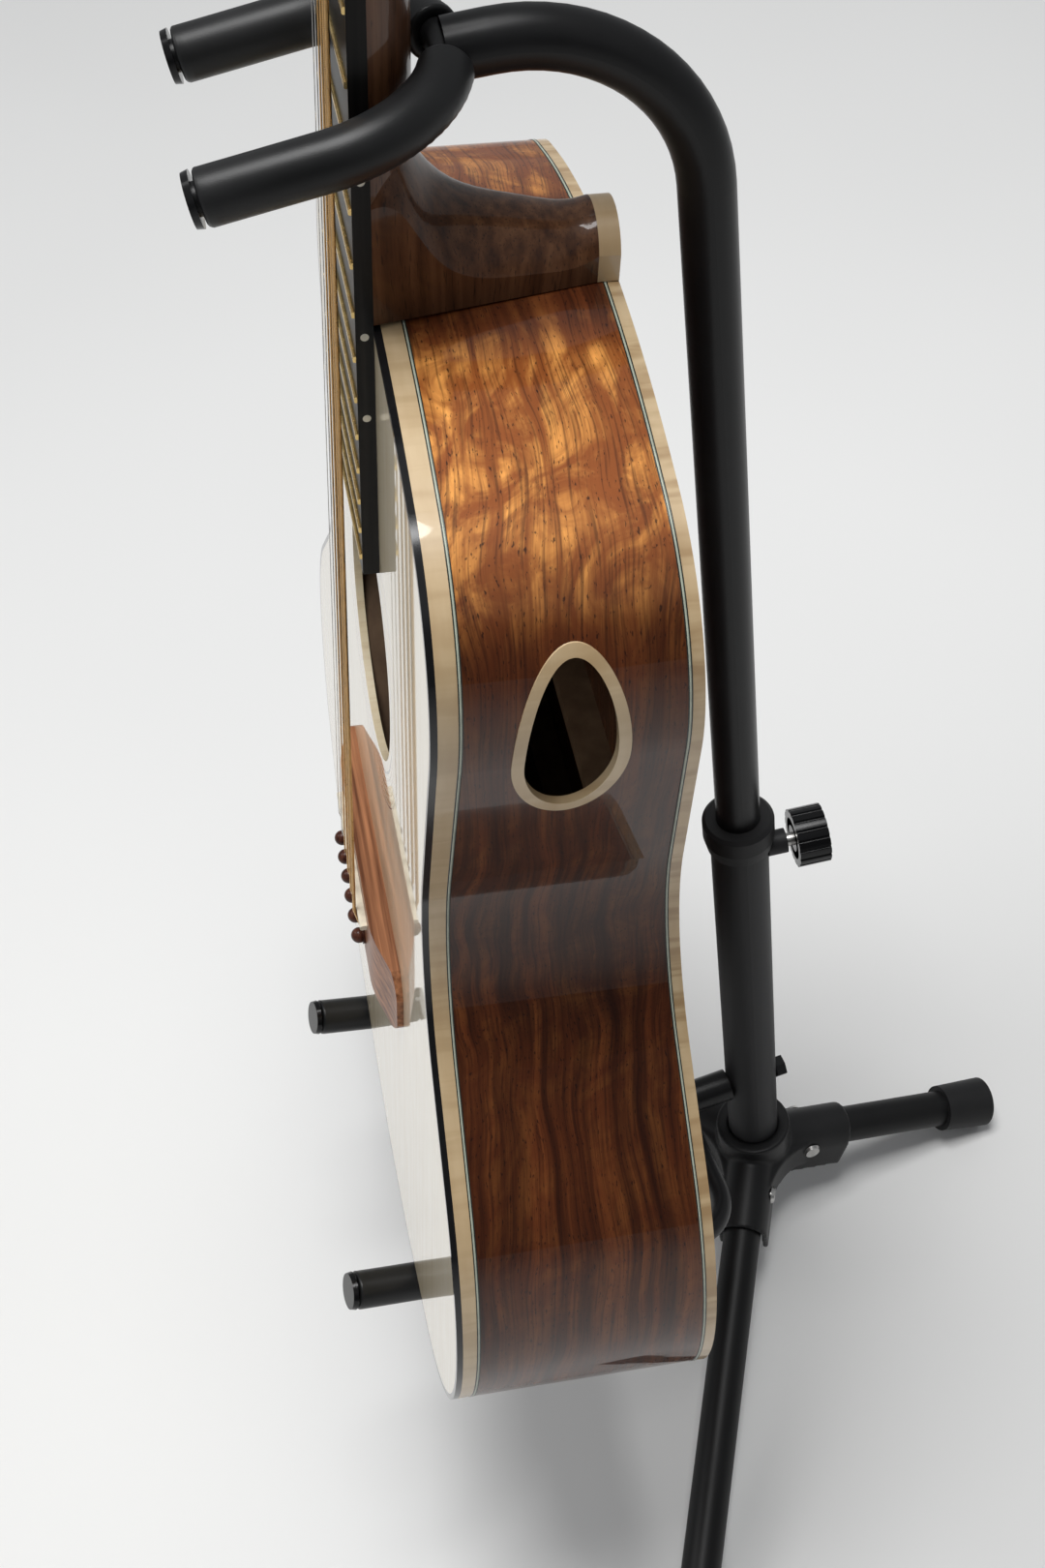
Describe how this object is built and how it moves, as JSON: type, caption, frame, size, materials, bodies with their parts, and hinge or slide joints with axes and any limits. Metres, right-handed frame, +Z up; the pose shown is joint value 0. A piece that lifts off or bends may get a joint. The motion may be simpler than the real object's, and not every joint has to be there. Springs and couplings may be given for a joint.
{
  "type": "guitar on stand",
  "caption": "Acoustic steel-string guitar resting on a black tubular tripod stand with a padded lower cradle, a padded neck yoke and a telescoping upright.",
  "frame": {"origin": "middle of the underside, on the floor", "axes": "+Z up along the stand's upright, -Y towards the soundboard, +X to the bass side of the guitar"},
  "size_m": [0.4572, 0.3492, 1.1737],
  "materials": {
    "spruce": "clear gloss lacquer",
    "inner_wood": "bare wood",
    "figured_side": "clear gloss lacquer",
    "maple": "clear gloss lacquer",
    "mahogany": "clear gloss lacquer",
    "ebony": "oiled",
    "bridge_wood": "oiled",
    "black_fibre": "gloss",
    "ring_trim": "clear gloss lacquer",
    "bone": "polished",
    "pin_wood": "polished",
    "gold_fret": "polished",
    "dot": "polished",
    "bronze_wire": "wound",
    "steel_wire": "plain",
    "rod_steel": "plain",
    "tuner_metal": "polished",
    "black_tube": "powder coat",
    "black_plastic": "moulded",
    "knob_plastic": "moulded",
    "foam": "satin foam",
    "foot_rubber": "moulded",
    "zinc": "plated"
  },
  "bodies": {
    "base": {"outer_tube": "black_tube", "hub": "black_plastic", "collar": "foot_rubber", "leg_pins": "zinc", "cradle_bar": "black_tube", "cradle_sleeves": "foam", "cradle_caps": "black_plastic", "cradle_bolt": "zinc"},
    "mast": {"mast": "black_tube", "yoke_sleeves": "foam", "yoke_caps": "black_plastic"},
    "clamp_knob": {"clamp_knob": "knob_plastic", "clamp_screw": "zinc"},
    "leg_rear": {"leg_rear": "black_tube", "foot_rear": "foot_rubber"},
    "leg_near": {"leg_near": "black_tube", "foot_near": "foot_rubber"},
    "leg_far": {"leg_far": "black_tube", "foot_far": "foot_rubber"},
    "tuner_button_low_e": {"tuner_button_low_e": "tuner_metal"},
    "tuner_post_low_e": {"tuner_post_low_e": "tuner_metal"},
    "tuner_button_a": {"tuner_button_a": "tuner_metal"},
    "tuner_post_a": {"tuner_post_a": "tuner_metal"},
    "tuner_button_d": {"tuner_button_d": "tuner_metal"},
    "tuner_post_d": {"tuner_post_d": "tuner_metal"},
    "tuner_button_g": {"tuner_button_g": "tuner_metal"},
    "tuner_post_g": {"tuner_post_g": "tuner_metal"},
    "tuner_button_b": {"tuner_button_b": "tuner_metal"},
    "tuner_post_b": {"tuner_post_b": "tuner_metal"},
    "tuner_button_high_e": {"tuner_button_high_e": "tuner_metal"},
    "tuner_post_high_e": {"tuner_post_high_e": "tuner_metal"},
    "guitar": {"back_binding": "maple", "back_plate": "figured_side", "braces": "inner_wood", "bridge": "bridge_wood", "bridge_pins": "pin_wood", "bridge_plate": "inner_wood", "edge_strip": "black_fibre", "fretboard": "ebony", "frets": "gold_fret", "headstock_veneer": "ebony", "heel_cap": "maple", "linings": "inner_wood", "neck": "mahogany", "neck_block": "inner_wood", "nut": "bone", "plain_strings": "steel_wire", "rosette": "ring_trim", "saddle": "bone", "side_bass": "figured_side", "side_dots": "dot", "side_treble": "figured_side", "soundboard": "spruce", "soundport_ring": "maple", "tail_block": "inner_wood", "top_binding": "maple", "truss_rod": "rod_steel", "tuner_housings": "tuner_metal", "wound_strings": "bronze_wire"}
  },
  "joints": [
    {"name": "guitar_lift", "type": "slide", "parent": "base", "child": "guitar", "axis": [0, -0.866, 0.5], "range_m": [0, 0.3]},
    {"name": "mast_slide", "type": "slide", "parent": "base", "child": "mast", "axis": [0, 0, 1], "range_m": [-0.006, 0.004]},
    {"name": "clamp_turn", "type": "hinge", "parent": "base", "child": "clamp_knob", "pos_m": [-0.01653, 0.06834, 0.303], "axis": [0, 1, 0], "continuous": true},
    {"name": "leg_fold_rear", "type": "hinge", "parent": "base", "child": "leg_rear", "pos_m": [-0.02034, 0.06449, 0.04856], "axis": [-0.9903, -0.1392, 0], "range_deg": [0, 66]},
    {"name": "leg_fold_near", "type": "hinge", "parent": "base", "child": "leg_near", "pos_m": [0.00996, 0.02664, 0.05296], "axis": [0.3746, 0.9272, 0], "range_deg": [0, 66]},
    {"name": "leg_fold_far", "type": "hinge", "parent": "base", "child": "leg_far", "pos_m": [-0.03903, 0.01976, 0.05296], "axis": [0.6157, -0.788, 0], "range_deg": [0, 66]},
    {"name": "tuner_turn_low_e", "type": "hinge", "parent": "guitar", "child": "tuner_button_low_e", "pos_m": [0.02615, 0.0174, 1.033], "axis": [1, 0, 0], "continuous": true},
    {"name": "post_turn_low_e", "type": "hinge", "parent": "guitar", "child": "tuner_post_low_e", "pos_m": [0.00615, 0.00636, 1.03091], "axis": [0, -0.93, 0.3675], "continuous": true},
    {"name": "tuner_turn_a", "type": "hinge", "parent": "guitar", "child": "tuner_button_a", "pos_m": [0.0268, 0.0321, 1.0702], "axis": [1, 0, 0], "continuous": true},
    {"name": "post_turn_a", "type": "hinge", "parent": "guitar", "child": "tuner_post_a", "pos_m": [0.0068, 0.02106, 1.06811], "axis": [0, -0.93, 0.3675], "continuous": true},
    {"name": "tuner_turn_d", "type": "hinge", "parent": "guitar", "child": "tuner_button_d", "pos_m": [0.02744, 0.0468, 1.1074], "axis": [1, 0, 0], "continuous": true},
    {"name": "post_turn_d", "type": "hinge", "parent": "guitar", "child": "tuner_post_d", "pos_m": [0.00744, 0.03576, 1.10531], "axis": [0, -0.93, 0.3675], "continuous": true},
    {"name": "tuner_turn_g", "type": "hinge", "parent": "guitar", "child": "tuner_button_g", "pos_m": [-0.06049, 0.0468, 1.1074], "axis": [-1, 0, 0], "continuous": true},
    {"name": "post_turn_g", "type": "hinge", "parent": "guitar", "child": "tuner_post_g", "pos_m": [-0.04049, 0.03576, 1.10531], "axis": [0, -0.93, 0.3675], "continuous": true},
    {"name": "tuner_turn_b", "type": "hinge", "parent": "guitar", "child": "tuner_button_b", "pos_m": [-0.05985, 0.0321, 1.0702], "axis": [-1, 0, 0], "continuous": true},
    {"name": "post_turn_b", "type": "hinge", "parent": "guitar", "child": "tuner_post_b", "pos_m": [-0.03985, 0.02106, 1.06811], "axis": [0, -0.93, 0.3675], "continuous": true},
    {"name": "tuner_turn_high_e", "type": "hinge", "parent": "guitar", "child": "tuner_button_high_e", "pos_m": [-0.0592, 0.0174, 1.033], "axis": [-1, 0, 0], "continuous": true},
    {"name": "post_turn_high_e", "type": "hinge", "parent": "guitar", "child": "tuner_post_high_e", "pos_m": [-0.0392, 0.00636, 1.03091], "axis": [0, -0.93, 0.3675], "continuous": true}
  ],
  "couplings": [
    {"joint": "post_turn_low_e", "follows": "tuner_turn_low_e", "ratio": 0.066667},
    {"joint": "post_turn_a", "follows": "tuner_turn_a", "ratio": 0.066667},
    {"joint": "post_turn_d", "follows": "tuner_turn_d", "ratio": 0.066667},
    {"joint": "post_turn_g", "follows": "tuner_turn_g", "ratio": -0.066667},
    {"joint": "post_turn_b", "follows": "tuner_turn_b", "ratio": -0.066667},
    {"joint": "post_turn_high_e", "follows": "tuner_turn_high_e", "ratio": -0.066667}
  ]
}
